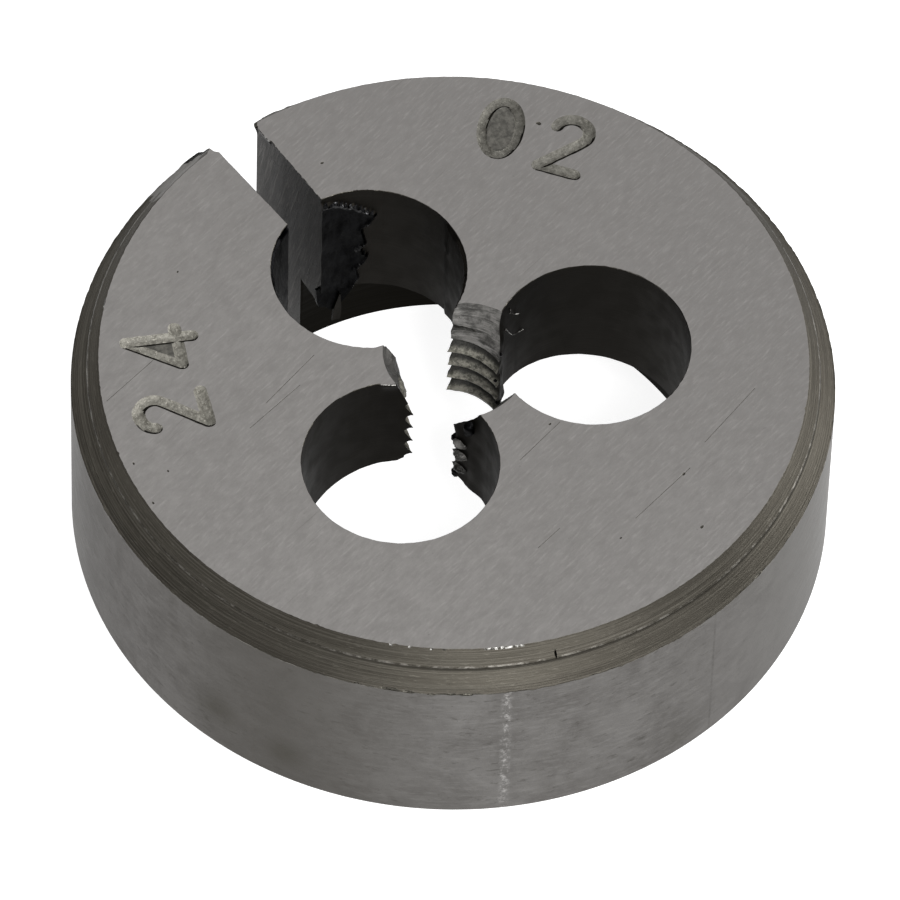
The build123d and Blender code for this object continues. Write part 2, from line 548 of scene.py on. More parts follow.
def chipped(s):
    """Small fresh chips and nicks."""
    grain = s.grain((14, 14, 14))
    s.colour = s.mix(grain, (0.020, 0.018, 0.014), (0.11, 0.105, 0.09))
    s.bump(grain, 0.02, 0.8)
    s.finish(0.42)


def edge(s):
    """Worn edges, where the metal is a little brighter, and the painted glints on the top rim."""
    grain = s.grain((7, 7, 7), 4, 0.75)
    s.colour = s.mix(s.remap(grain, 0.46, 0.62), (0.030, 0.028, 0.024), (0.46, 0.45, 0.43))
    s.bump(grain, 0.006, 0.6)
    s.finish(0.46)


def worn_line(s):
    """The turned ridge, the chamfer's foot and the chip holes' rims, where a broken light line is painted on
    as highlight.
    """
    broken = s.rings((24, 3, 3), 6, 0.8)
    s.colour = s.mix(s.remap(broken, 0.44, 0.64), (0.036, 0.033, 0.027), (0.125, 0.118, 0.105))
    s.bump(broken, 0.01, 0.7)
    s.finish(0.46)


def burr(s):
    """Metal pushed up by the cut: smeared, glossy and near black."""
    smear = s.grain((2.2, 2.2, 0.9), 6, 0.75)
    s.colour = s.mix(s.remap(smear, 0.38, 0.66), (0.0014, 0.0014, 0.0015), (0.0080, 0.0081, 0.0086))
    s.bump(smear, 0.05, 0.8)
    s.finish(s.gloss(smear, 0.30, 0.46), dim=0.6)


def torn(s):
    """Freshly torn metal at the burr's rim: dark, with light specks painted on as glints."""
    grain = s.grain((4.5, 4.5, 4.5), 4, 0.7)
    # Painted glints: light specks over the dark torn metal.
    s.colour = s.mix(s.remap(grain, 0.56, 0.72), (0.006, 0.006, 0.0063), (0.17, 0.17, 0.174))
    s.bump(grain, 0.06, 0.9)
    s.finish(0.34)


makers = (
    ground_top, turned_chamfer, ground_side, drilled_wall, slot_face, thread, lead_in, stamp,
    stamp_floor, stamp_side, recess, chipped, edge, worn_line, burr, torn,
)
materials = {}
for make in makers:
    shader = Shader(make.__name__)
    make(shader)
    materials[make.__name__] = shader.material
SLOT_OF = {name: index for index, name in enumerate(materials)}


# The die's body

# Where the rim of the top face carries painted glints, as angles from and to
RIM_PAINTED_GLINTS = (
    (222.0, 222.5), (225.2, 225.6), (228.7, 229.2), (230.6, 231.0),
    (236.8, 243.4), (52.0, 58.0), (131.0, 133.0),
)

# The chamfer's end by the slot: the angle it starts at, and those up to which it is black and rolled over
CHAMFER_END = 93.0
BLACK_TO = 97.3
ROLLED_TO = 108.5

# Where the rim's and the chamfer's swelling at that end fades out, as angles to and from
RIM_FADES = (97.0, 96.1)
SWELLING_FADES = (100.0, 97.5)


def rings_between(start, end, count, waves, depth):
    """(radius, height) points from start to end with the tool's ripples across the line."""
    along = Vector(end) - Vector(start)
    across = Vector((along.y, -along.x)).normalized()
    points = []
    for i in range(count):
        t = i / count
        ripple = depth * (0.5 - 0.5 * cos(2 * pi * waves * t)) * (0.75 + 0.25 * sin(7 * t))
        points.append(tuple(Vector(start) + along * t - across * ripple))
    return points


def has_painted_glint(angle):
    """Whether the rim carries a painted glint at an angle."""
    return any(start < angle < end for start, end in RIM_PAINTED_GLINTS)


def blank():
    """The turned disc with its chamfers, its tool rings and its worn edges, with painted glints on its rim
    and a painted highlight line along its ridge and foot.
    """
    ridge_radius = OUTSIDE - RIDGE_INSET
    ridge_height = TOP - RIDGE_DROP
    rim_radius = OUTSIDE - CHAMFER_WIDTH
    step_foot = (ridge_radius + STEP_WIDTH, ridge_height - STEP_HEIGHT)
    base = rings_between((OUTSIDE - BASE_CHAMFER_WIDTH, 0.0), (OUTSIDE, BASE_CHAMFER_DROP), 9, 3, 0.012)
    wall = [(OUTSIDE, BASE_CHAMFER_DROP), (OUTSIDE, BASE_CHAMFER_DROP + 0.2), (OUTSIDE, CHAMFER_FOOT - 0.25)]
    lower = rings_between((OUTSIDE, CHAMFER_FOOT), step_foot, 25, 8, 0.016)
    lower += [step_foot, (step_foot[0] - 0.01, step_foot[1] + 0.06)]
    upper = rings_between((ridge_radius, ridge_height), (rim_radius, TOP), 19, 6, 0.013)
    profile, surfaces = joined(
        (base, "turned_chamfer"),
        (wall, "ground_side"),
        # The chamfer's foot and the ridge carry a painted highlight line.
        ([(OUTSIDE, CHAMFER_FOOT - 0.03)], "worn_line"),
        (lower, "turned_chamfer"),
        ([(ridge_radius + 0.012, ridge_height - 0.03)] + upper[:1], "worn_line"),
        (upper[1:], "turned_chamfer"),
        ([(rim_radius + 0.010, TOP - 0.014)], "edge"),
        ([(rim_radius - 0.008, TOP)], "ground_top"),
    )
    foot = len(base) + len(wall) + 1
    ridge = foot + len(lower) + 1
    rim = len(profile) - 1

    def worn(index, angle):
        begun = ramp(angle, CHAMFER_END, CHAMFER_END + 2)
        if foot - 1 <= index <= foot:
            ragged = 0.030 * wobble(1, angle * 0.9) + 0.035 * wobble(2, angle * 3.1)
            return 0.0, ragged - 0.16 * spikes(14, 0.30, angle * 1.4)
        if index >= rim - 1:
            ragged = 0.012 * wobble(3, angle * 1.1) + 0.012 * wobble(4, angle * 4.0)
            nick = 0.16 * spikes(5, 0.52, angle * 1.7)
            return ragged - nick + 0.10 * ramp(angle, *RIM_FADES) * begun, 0.0
        if ridge - 1 <= index <= ridge:
            return 0.012 * wobble(6, angle * 2.3), 0.014 * wobble(7, angle * 1.9)
        swollen = 0.07 * ramp(angle, *SWELLING_FADES) * begun if index > foot else 0.0
        return swollen + 0.002 * wobble(8, angle * 0.7, index * 0.4), 0.0

    def kind_of(middle, kind):
        angle = degrees(atan2(middle.y, middle.x)) % 360
        # Painted glints: at the glint angles the rim's bevel and the chamfer's topmost band take the brighter
        # edge surface.
        if kind == "edge":
            return "edge" if has_painted_glint(angle) else "turned_chamfer"
        if TOP - 0.06 < middle.z < TOP and has_painted_glint(angle):
            return "edge"
        on_chamfer = CHAMFER_FOOT + 0.02 <= middle.z <= TOP - 0.005
        if not on_chamfer or not CHAMFER_END < angle < ROLLED_TO + 3:
            return kind
        taper = 0.9 * ramp(middle.z, TOP - 0.6, TOP - 1.25)
        if middle.z < TOP - 0.14 and angle + 0.3 * wobble(16, middle.z * 3) < BLACK_TO + taper:
            return "recess"
        uneven = angle + 1.5 * wobble(15, angle * 0.8, middle.z * 4)
        below = middle.z < ridge_height + 0.10
        return "ground_side" if uneven < ROLLED_TO - (2.0 if below else 0.0) else kind

    return turned("die_body", profile, 720, surfaces + ["ground_top"], worn, kind_of)


def recess_height(radius):
    """Height of the recess floor at a radius."""
    return RECESS_WALL + (RECESS - radius) * RECESS_RISE


# Each land's middle angle, the radius of its lead-in's mouth there, and how much that shrinks per degree
LANDS = ((30.0, 2.36, 0.0062), (150.0, 2.28, 0.0046), (270.0, 2.433, 0.0006))

# What wear and torn metal change at a land's two ends: the crests' radius, the groove's, how far the
# crests are worn to sharp cusps, and how far they lean down
LAND_ENDS = {
    (0, -1): (0.05, -0.05, 0.3, 0.05), (0, 1): (0.05, 0.12, 0.2, 0.03),
    (1, -1): (0.06, -0.10, 0.3, 0.0), (1, 1): (0.04, -0.17, 1.0, 0.10),
    (2, -1): (-0.10, -0.30, 0.6, 0.0), (2, 1): (0.04, -0.05, 0.3, 0.0),
}

# The second land's end by the slot is rubbed away above this height, to a radius that widens upward
RUBBED_LAND = 1
RUBBED_FROM = 6.0
RUBBED_RADIUS = 1.68
RUBBED_SLOPE = 0.145

# The groove's half section: share of the pitch from its middle, and share of its depth, as cut and worn
GROOVE = (
    (0.49, -0.04, -0.04), (0.455, 0.035, 0.18), (0.41, 0.10, 0.36), (0.35, 0.23, 0.54),
    (0.28, 0.42, 0.72), (0.20, 0.66, 0.87), (0.12, 0.88, 0.96), (0.05, 0.99, 1.0),
)

# How much smaller the bore's lower mouth is on the first land
FIRST_EXIT = 0.36

# How many heights the bore's straight wall is modelled at
CREST_ROWS = 18


def nearest_land(angle):
    """The index of the land nearest to an angle, and the turn from its middle."""
    turns = [(angle - land[0] + 180) % 360 - 180 for land in LANDS]
    index = min(range(len(LANDS)), key=lambda i: abs(turns[i]))
    return index, turns[index]


def land_end(angle):
    """How the nearest land's end changes the crests and the groove at an angle."""
    index, turn = nearest_land(angle)
    share = ramp(abs(turn), 17, 30)
    return [value * share for value in LAND_ENDS[(index, 1 if turn > 0 else -1)]]


def rubbed(angle, height):
    """How much of the rubbing on the second land reaches an angle and a height, from 0 to 1."""
    index, turn = nearest_land(angle)
    if index != RUBBED_LAND:
        return 0.0
    return ramp(turn, -13, -21) * ramp(height, RUBBED_FROM, RUBBED_FROM + 0.4)


def bore_and_recess():
    """What the underside's recess, the bore and its two cones take away."""
    exit_radius = THREAD_RADIUS + EXIT_MARGIN
    exit_height = recess_height(exit_radius)
    exit_top = exit_height + exit_radius - BORE
    mouth = THREAD_RADIUS + LEAD_IN_MARGIN
    cone_foot = TOP - (mouth - BORE) / tan(radians(LEAD_IN_ANGLE))
    wall = [(RECESS, RECESS_BREAK), (RECESS, RECESS_WALL - 0.12), (RECESS - 0.03, RECESS_WALL - 0.03)]
    bottom = rings_between((RECESS - 0.12, recess_height(RECESS - 0.12)), (exit_radius, exit_height),
                           44, 11, 0.014)
    crests = [(BORE, exit_top + (cone_foot - exit_top) * i / CREST_ROWS) for i in range(CREST_ROWS)]
    cone = rings_between((BORE, cone_foot), (mouth, TOP), 24, 6, 0.012)
    profile, surfaces = joined(
        ([(RECESS + RECESS_BREAK + PAST, -PAST), (RECESS + RECESS_BREAK, 0.0)], "edge"),
        (wall + bottom, "recess"),
        ([(exit_radius, exit_height)] + crests, "thread"),
        (cone, "lead_in"),
        ([(mouth, TOP), (mouth + 0.03, TOP + 0.03)], "edge"),
        ([(mouth + 0.03, TOP + PAST)], "recess"),
    )
    first_crest = surfaces.index("thread") + 1
    first_cone = surfaces.index("lead_in")

    def worn(index, angle):
        if index == first_crest - 1 and nearest_land(angle)[0] == 0:
            return -FIRST_EXIT, FIRST_EXIT * RECESS_RISE
        if index < first_crest:
            return 0.0, 0.0
        radius, height = profile[index]
        land, turn = nearest_land(angle)
        wider = 0.012 * wobble(9, angle * 0.22, height * 6)
        if index < first_cone:
            wider += land_end(angle)[0] + 0.02 * wobble(10, angle * 0.3, height * 2.2)
        else:
            share = min(1.0, (radius - BORE) / (mouth - BORE))
            land_mouth, relief = LANDS[land][1:]
            wider += share * (land_mouth - relief * turn - mouth) + (1 - share) * land_end(angle)[0]
        rub = rubbed(angle, height)
        if rub:
            lumps = 0.03 * wobble(12, angle * 0.08, height * 1.7)
            target = RUBBED_RADIUS + (height - RUBBED_FROM) * RUBBED_SLOPE + lumps
            wider += rub * max(0.0, target - radius - wider)
        return wider, 0.0

    return turned("bore_tool", profile, 400, surfaces + ["recess"], worn)


# How far torn metal stands into each chip hole beside the lands, by hole and side
TORN = {(0, -1): 0.04, (0, 1): -0.09, (1, -1): 0.13, (1, 1): 0.03, (2, -1): 0.26, (2, 1): 0.03}

# The burr that the saw pushed over the first hole's wall: its torn edge, as angle round the hole and height
BURR_HOLE = 0
BURR_EDGE = (
    (84.0, 8.80), (79.0, 8.72), (72.0, 8.60), (66.5, 8.44), (60.0, 8.28), (54.0, 8.02), (47.0, 7.78),
    (50.0, 7.20), (55.5, 6.95), (52.5, 6.10), (56.0, 5.85), (51.0, 5.55), (53.0, 5.15), (58.5, 4.75),
    (56.6, 4.25), (61.0, 3.70), (68.0, 3.20),
)

# The stretch of that wall that is black all over, as angles round the hole, and the height above which all
# of the burr's rim is torn
BLACK_WALL = (98, 165)
TORN_ABOVE = 7.9

# How far the first land's tooth tips are rounded off at the first hole, and the height of one tip
ROUNDED_TIPS = 0.05
FIRST_CREST = 4.24

# Where a hole's rim stands in beside the second land: by hole, from and to bearing, how far, and how deep
RIM_PUSHES = {0: (-34, -16, 0.07, 1.1), 1: (22, 36, 0.10, 0.35)}

# Where a hole's wall is modelled more finely: this far to either side of the die's middle, and the burr's
# bearings in the first hole. The rows go up from the lowest one, then come two near the rim.
NEAR_LANDS = 54.0
BURR_FROM = 132.0
BURR_TO = 176.0
LOWEST_ROW = 3.3
ROWS_HEIGHT = 5.55
RIM_ROWS = [8.86, 8.93]


def burr_skin(angle, height):
    """How far the burr stands in from the hole's wall at an angle round the hole, and its nearness to the
    burr's torn edge."""
    scale = radians(HOLE)
    x = angle * scale + 0.035 * wobble(70, angle * 0.35, height * 5)
    y = height + 0.05 * wobble(76, angle * 0.20, height * 3)
    nearest = 9.0
    inside = y <= BURR_EDGE[-1][1] and x > BURR_EDGE[-1][0] * scale
    for (x1, y1), (x2, y2) in zip(BURR_EDGE, BURR_EDGE[1:]):
        if (y1 > y) != (y2 > y) and x > (x1 + (x2 - x1) * (y - y1) / (y2 - y1)) * scale:
            inside = not inside
        x1, x2 = x1 * scale, x2 * scale
        wide, high = x2 - x1, y2 - y1
        along = ((x - x1) * wide + (y - y1) * high) / (wide ** 2 + high ** 2)
        along = max(0.0, min(1.0, along))
        nearest = min(nearest, ((x - x1 - along * wide) ** 2 + (y - y1 - along * high) ** 2) ** 0.5)
    if not inside:
        return 0.0, 0.0
    rim = ramp(nearest, 0.30, 0.06)
    folds = 0.5 + 0.5 * wobble(72, angle * 0.13, height * 0.8) + 0.35 * wobble(73, angle * 0.4, height * 2.2)
    return ramp(nearest, 0.0, 0.10) * max(0.02, 0.045 + 0.07 * rim * (0.7 + folds) + 0.06 * folds), rim


def rim_push(index, bearing, height):
    """How far a chip hole's rim stands in from its round."""
    start, end, far, deep = RIM_PUSHES.get(index, (0, 0, 0, 1))
    if not start < bearing < end:
        return 0.0
    share = ramp(bearing, start, start + 5) * ramp(bearing, end, end - 5)
    return far * share * ramp(height, TOP - deep, TOP - deep / 3)


def hole_skin(index, bearing, height):
    """How far a chip hole's wall stands in from its round at a bearing from the die's middle."""
    off = abs(bearing)
    window = ramp(off, 9, 15) * ramp(off, 36, 25) * ramp(height, TOP - 0.3, TOP - 1.3)
    lumps = 0.85 + 0.30 * wobble(60 + index, height * 1.3, off * 0.04)
    lumps += 0.25 * wobble(63 + index, height * 3.6, off * 0.1)
    skin = TORN[(index, 1 if bearing > 0 else -1)] * window * max(0.0, lumps)
    skin += rim_push(index, bearing, height)
    if index == BURR_HOLE and bearing > 0:
        skin -= ROUNDED_TIPS * window * (0.5 + 0.5 * cos(2 * pi * (height - FIRST_CREST) / PITCH))
    if index == BURR_HOLE:
        skin += burr_skin((SLOT_ANGLE + 180 + bearing) % 360, height)[0]
    return skin


def hole_rows(index):
    """The bearings and the heights at which a chip hole's wall is modelled."""
    bearings = [-NEAR_LANDS + NEAR_LANDS * i / 45 for i in range(90)]
    bearings += [NEAR_LANDS + (360 - 2 * NEAR_LANDS) * i / 84 for i in range(84)]
    step = 0.20
    if index == BURR_HOLE:
        bearings = [b for b in bearings if not BURR_FROM < b < BURR_TO]
        bearings = sorted(bearings + [BURR_FROM + 0.5 + 0.5 * i for i in range(86)])
        step = 0.09
    return bearings, [LOWEST_ROW + step * i for i in range(int(ROWS_HEIGHT / step) + 1)] + RIM_ROWS


def chip_hole(index):
    """What one chip hole takes away, torn beside the lands, with an uneven worn edge at the top."""
    hole_angle = SLOT_ANGLE + 360 / HOLE_COUNT * index
    centre = polar(HOLE_CIRCLE, hole_angle)
    bearings, levels = hole_rows(index)
    rings = []
    for bearing in bearings:
        angle = hole_angle + 180 + bearing
        from_axis = (bearing + 180) % 360 - 180
        width = 0.010 + 0.020 * spikes(11 + index, -0.25, angle * 0.35)
        width += 0.06 * spikes(21 + index, 0.35, angle * 1.3)
        rough = HOLE + 0.006 * wobble(31 + index, angle * 0.6)
        ring = [(rough, -PAST)]
        ring += [(rough - hole_skin(index, from_axis, height), height) for height in levels]
        push = rim_push(index, from_axis, TOP)
        ring += [(rough - push, TOP - width), (rough + width - push, TOP), (rough + width + PAST, TOP + PAST)]
        rings.append([centre + polar(radius, angle, height) for radius, height in ring])

    def kind_of(middle, kind):
        angle = degrees(atan2(middle.y - centre.y, middle.x - centre.x)) % 360
        # A chip hole's rim takes a broken light line painted on as highlight, in stretches.
        if kind == "edge":
            return "worn_line" if wobble(25 + index, angle * 0.05) > 0.05 else "drilled_wall"
        if index != BURR_HOLE or kind != "drilled_wall":
            return kind
        if BLACK_WALL[0] < angle < BLACK_WALL[1]:
            return "burr"
        skin, rim = burr_skin(angle, middle.z)
        if angle > SLOT_ANGLE or skin < 0.02:
            return kind
        fresh = wobble(74, angle * 0.16, middle.z * 2.2) + 0.35 * wobble(78, angle * 0.5, middle.z * 6.0)
        return "torn" if rim > 0.15 and (middle.z > TORN_ABOVE or fresh > 0.30) else "burr"

    walls = ["drilled_wall"] * (len(levels) + 1)
    return loft("hole_tool", list(zip(*rings)), walls + ["edge", "edge", "drilled_wall", "edge"], kind_of)


# Torn metal that hangs below the recess's floor beside the slot, a wide piece and a blade in front of it:
# height, and the angles round the first hole it spans
HANGING_BURR = ((4.15, 62.0, 84.5), (3.75, 61.0, 84.5), (3.45, 64.0, 84.0), (3.25, 66.5, 83.0),
                (3.08, 68.5, 78.5), (2.95, 69.5, 76.5), (2.86, 72.0, 75.0))
HANGING_BLADE = ((3.69, 69.3, 70.0), (3.40, 69.0, 71.2), (3.10, 68.6, 72.6), (2.77, 68.4, 73.6),
                 (2.34, 69.2, 74.6))

# The outline of the thin torn sheet on the slot's flared face, as (y, z)
CURTAIN = ((7.70, 3.97), (7.72, 3.16), (7.99, 3.25), (8.35, 3.33), (8.77, 3.42), (8.92, 3.60), (8.92, 3.90))

# Lumps of torn metal on the lands' ends: place, size around, outward and up, and surface
LUMPS = (
    ((-0.860, -1.600, 6.80), (0.29, 0.27, 0.14), "lead_in"),
    ((-0.850, -1.640, 6.18), (0.29, 0.27, 0.13), "lead_in"),
    ((-0.850, -1.600, 5.42), (0.25, 0.25, 0.18), "thread"),
    ((-0.885, -1.310, 6.78), (0.15, 0.13, 0.20), "burr"),
    ((-0.879, -1.378, 4.95), (0.16, 0.14, 0.24), "burr"),
    ((-0.800, -1.980, 7.92), (0.26, 0.18, 0.34), "burr"),
    ((1.40, 1.55, 8.42), (0.11, 0.05, 0.09), "torn"),
    ((1.94, -0.05, 7.66), (0.06, 0.06, 0.06), "torn"),
    ((1.74, -0.05, 6.38), (0.06, 0.06, 0.05), "torn"),
    ((1.82, -0.05, 5.11), (0.05, 0.05, 0.05), "torn"),
)

# Where the third land's end is broken away: place and size around, outward and up
BROKEN_END = ((-0.78, -1.22, 7.95), (0.26, 0.24, 0.42))

# A light torn lip on the third hole's rim beside the second land
LIP_RADIUS = 0.024
LIP = (
    (-2.57, 0.60, 8.985), (-2.49, 0.52, 8.985), (-2.39, 0.43, 8.985),
    (-2.28, 0.35, 8.985), (-2.18, 0.29, 8.975),
)

# Fine curls of swarf that stick to the second hole's wall beside the first land
SWARF_RADIUS = 0.022
SWARF = (
    ((2.80, 0.60, 8.52), (2.93, 0.77, 8.48), (3.00, 0.82, 8.30),
     (3.08, 0.84, 8.05), (3.20, 0.85, 7.90), (3.34, 0.80, 7.88)),
    ((2.62, 0.60, 7.66), (2.73, 0.70, 7.64), (2.92, 0.76, 7.20),
     (3.12, 0.82, 6.86), (3.36, 0.90, 6.68), (3.60, 0.86, 6.74)),
)


def plate(levels, inner, outer, surface, lean=0.0):
    """A thin upright plate that follows the first hole's wall, from (height, from angle, to angle) levels.
    Its inner side leans inward on the way down."""
    centre = polar(HOLE_CIRCLE, SLOT_ANGLE)
    steps = 14
    loops = []
    for height, start, end in levels:
        loop = []
        for radius, order in ((inner, range(steps + 1)), (outer, range(steps, -1, -1))):
            inward = lean * (levels[0][0] - height) if radius == inner else 0.0
            for i in order:
                angle = start + (end - start) * i / steps
                dent = 0.03 * wobble(75, angle * 0.25, height * 2.5)
                loop.append(centre + polar(radius + dent - inward, angle, height))
        loops.append(loop)
    return loft("plate_tool", loops, surface)


def torn_metal(body):
    """Joins on the torn metal that the saw left hanging in the recess."""
    join(body, plate(HANGING_BURR, HOLE - 0.045, HOLE + 0.05, "burr", 0.05))
    join(body, plate(HANGING_BLADE, HOLE - 0.19, HOLE - 0.10, "drilled_wall"))
    sheets = [[Vector((flared_face(y) + across, y, z)) for y, z in CURTAIN] for across in (0.004, 0.10)]
    join(body, loft("curtain_tool", sheets, ["burr", "slot_face", "slot_face"]))


def direction(path, i, closed=False):
    """The way a path runs at one of its points."""
    if closed:
        return (path[(i + 1) % len(path)] - path[i - 1]).normalized()
    return (path[min(i + 1, len(path) - 1)] - path[max(i - 1, 0)]).normalized()


def wire(points, radius, surface):
    """A thin round wire along given points."""
    path = [Vector(p) for p in points]
    around = 8
    loops = []
    for i, place in enumerate(path):
        along = direction(path, i)
        across = along.cross(Vector((0.3, 0.2, 0.93))).normalized()
        other = along.cross(across)
        loops.append([place + (across * cos(2 * pi * k / around) + other * sin(2 * pi * k / around)) * radius
                      for k in range(around)])
    return loft("wire_tool", loops, surface)


# The corners of the slot's square face at its steeper mouth, as (y, x)
LEFT_MOUTH = (
    (11.33, -1.035), (11.46, -1.15), (11.66, -1.19), (11.80, -1.08), (11.95, -1.02), (OUTSIDE + PAST, -1.02),
)

# Along the slot: where its finely modelled mouth starts and how long that is, and where the flared face's
# lip breaks away
MOUTH_FROM = 10.4
MOUTH_LENGTH = 1.4
LIP_BREAKS = (11.40, 11.58)
CHIPPED_FROM = 11.42


def flared_face(along):
    """X of the slot's flared face, as sawn."""
    return SLOT_HALF - SLOT_OFFSET + (along - HOLE_REACH) * SLOT_FLARE


def slot_right(along, height):
    """X of the slot's flared face, with the lip that leans over it by the mouth."""
    mouth = along - MOUTH_CORNER - SLOT_OFFSET
    high = ramp(height, TOP - 0.22, TOP - 0.06)
    bow = 0.065 * high * ramp(along, 10.66, 10.72) * ramp(along, 11.48, 11.22)
    tip = 0.16 * ramp(height, TOP - 0.55, TOP - 0.08) * ramp(along, 11.38, 11.60)
    return max(flared_face(along), mouth) - bow - tip


def slot_left(along):
    """X of the slot's square face, with its steeper mouth."""
    if along <= LEFT_MOUTH[0][0]:
        return -SLOT_HALF - SLOT_OFFSET
    for (start, first), (end, second) in zip(LEFT_MOUTH, LEFT_MOUTH[1:]):
        if along <= end:
            return first + (second - first) * (along - start) / (end - start)
    return LEFT_MOUTH[-1][1]


def slot():
    """What the slot takes away, with worn top edges and a leaning lip at its mouth."""
    inner = HOLE_CIRCLE
    stops = [inner + (MOUTH_FROM - inner) * i / 40 for i in range(40)]
    stops += [MOUTH_FROM + MOUTH_LENGTH * i / 40 for i in range(41)] + [12.0, 12.4, OUTSIDE + PAST]
    heights = [-PAST, 2.0, 5.0, TOP - 0.6, TOP - 0.45, TOP - 0.3, TOP - 0.2, TOP - 0.12]
    rings = []
    for side in (1, -1):
        for along in stops[::side]:
            width = 0.012 + 0.018 * spikes(41 + side, -0.3, along * 1.7)
            if side > 0:
                width += 0.13 * ramp(along, *LIP_BREAKS)
            wave = 0.008 * wobble(43 + side, along * 2.2)
            deep = min(0.08, width)
            ring = [(height, 0.0) for height in heights + [TOP - deep]]
            ring += [(TOP, width), (TOP + PAST, width + PAST)]
            points = []
            for height, wider in ring:
                across = slot_right(along, min(height, TOP - deep)) if side > 0 else slot_left(along)
                points.append(Vector((across + wave + side * wider, along, height)))
            rings.append(points)

    def kind_of(middle, kind):
        return "chipped" if kind == "edge" and middle.y > CHIPPED_FROM and middle.x > 0 else kind

    walls = ["slot_face"] * len(heights)
    return loft("slot_tool", list(zip(*rings)), walls + ["edge", "edge", "slot_face", "edge"], kind_of)


# The thread's groove is modelled at this many places in each of its turns. It starts this far before the
# middle of the land by the slot.
GROOVE_STEPS = 150
GROOVE_TURNS = 8
GROOVE_START = 46


def thread_groove():
    """What the helical groove takes away: flanks that round over to the crests, a rounded root and torn
    skin, shallow where the lead-in has worn."""
    lowest = recess_height(BORE) - PITCH
    section = [(-wide, *depths) for wide, *depths in GROOVE] + list(reversed(GROOVE))
    start = SLOT_ANGLE + 360 / HOLE_COUNT / 2 - GROOVE_START
    loops = []
    for step in range(GROOVE_STEPS * GROOVE_TURNS + 1):
        angle = start + 360 * step / GROOVE_STEPS
        rise = lowest + PITCH * step / GROOVE_STEPS
        crest, root, worn_share, lean = land_end(angle)
        top = BORE + crest
        bottom = THREAD_RADIUS + root - 0.5 * rubbed(angle, rise)
        shallow = (0.06 if nearest_land(angle)[0] == 0 else 0.22) * ramp(rise, TOP - 1.35, TOP - 0.9)
        loop = [polar(BORE - 0.25, angle, rise - 0.49 * PITCH)]
        for index, (wide, cut_depth, worn_depth) in enumerate(section):
            deep = cut_depth + (worn_depth - cut_depth) * worn_share
            seed = 50 + index
            tear = 0.018 * wobble(seed, step * 0.25) + 0.016 * wobble(seed + 20, step * 0.8)
            height = rise + wide * PITCH - lean * (1 - max(0.0, deep)) + 0.7 * tear
            loop.append(polar(top + (bottom - shallow - top) * deep + tear * deep, angle, height))
        loop.append(polar(BORE - 0.25, angle, rise + 0.49 * PITCH))
        loops.append(loop)
    return loft("thread_tool", loops, "thread")


def seat(side):
    """What a closing screw's seat takes away."""
    out = polar(1, SLOT_ANGLE + side * SEAT_SPREAD / 2)
    around = UP.cross(out)
    height = (CHAMFER_FOOT + BASE_CHAMFER_DROP) / 2
    steps = 96
    loops = []
    for depth, radius in ((-SEAT_RADIUS, 0.02), (0.0, SEAT_RADIUS), (PAST, SEAT_RADIUS + PAST)):
        loop = []
        for step in range(steps):
            turn = radians(360 * step / steps)
            spread = around * cos(turn) * radius + UP * sin(turn) * radius
            loop.append(out * (OUTSIDE + depth) + Vector((0, 0, height)) + spread)
        loops.append(loop)
    return loft("seat_tool", loops, "recess")


# Marks in the top face

# The punched stroke's half section, from above the face down: share of its half width and of its depth
PUNCH = ((1.16, -0.30), (1.0, 0.0), (0.74, 0.55), (0.50, 0.90), (0.22, 1.0))

# The side of each punched stroke that is painted dark as shade
SHADED_SIDE = 250.0

# The strokes' half width, a closed one's, their depth, and how far a figure's middle is pushed down
PUNCH_HALF = 0.22
RING_HALF = PUNCH_HALF * 0.85
PUNCH_DEPTH = 0.16
SUNK_DEPTH = 0.06


def outline(path, half, height, seed):
    """Points round a line on the top face at a distance from it, with rounded ends, a little ragged."""
    last = len(path) - 1
    turns = 7
    points = []
    for side in (1, -1):
        for i in range(last + 1)[::side]:
            along = direction(path, i)
            across = Vector((-along.y, along.x, 0)) * side
            points.append(path[i] + across * half)
        for k in range(1, turns):
            angle = pi * k / turns
            points.append(path[i] + (across * cos(angle) + along * side * sin(angle)) * half)
    ragged = 0.09 * half
    shifts = [(ragged * wobble(seed, *(p * 5)), ragged * wobble(seed + 1, *(p * 5))) for p in points]
    return [p + Vector((x, y, height)) for p, (x, y) in zip(points, shifts)]


def punched(points, half, surface, closed=False):
    """The rule that gives one side of each punched stroke its own surface, painted dark as shade."""
    shaded = polar(1, SHADED_SIDE)
    last = len(points) - 1

    def kind_of(middle, kind):
        if surface != "stamp":
            return kind
        flat = Vector((middle.x, middle.y, 0))
        i = min(range(last + 1), key=lambda k: (points[k] - flat).length)
        away = flat - points[i]
        along = direction(points, i, closed)
        forward = away.dot(along)
        past_end = not closed and (i == 0 and forward < 0 or i == last and forward > 0)
        if not past_end:
            away -= along * forward
        # Painted shade on the side of the stroke that faces SHADED_SIDE.
        return "stamp_side" if away.dot(shaded) / half > 0.24 else kind

    return kind_of


def stroke(points, half, depth, surface, seed):
    """What one punched or scratched stroke takes away: a groove with sloping sides and rounded ends."""
    loops = [outline(points, half * wide, TOP - depth * deep, seed) for wide, deep in PUNCH]
    return loft("stroke_tool", loops, surface, punched(points, half, surface))


def ring_stroke(points, half, depth, surface, seed):
    """What a closed punched stroke takes away."""
    section = [*PUNCH] + [(-wide, deep) for wide, deep in reversed(PUNCH)]
    loops = []
    for i, place in enumerate(points):
        along = direction(points, i, True)
        across = Vector((-along.y, along.x, 0))
        uneven = 1 + 0.10 * wobble(seed, *(place * 2.5))
        loops.append([place + across * half * wide * uneven + Vector((0, 0, TOP - depth * deep))
                      for wide, deep in section])
    return loft("ring_tool", loops, surface, punched(points, half, surface, True), True)


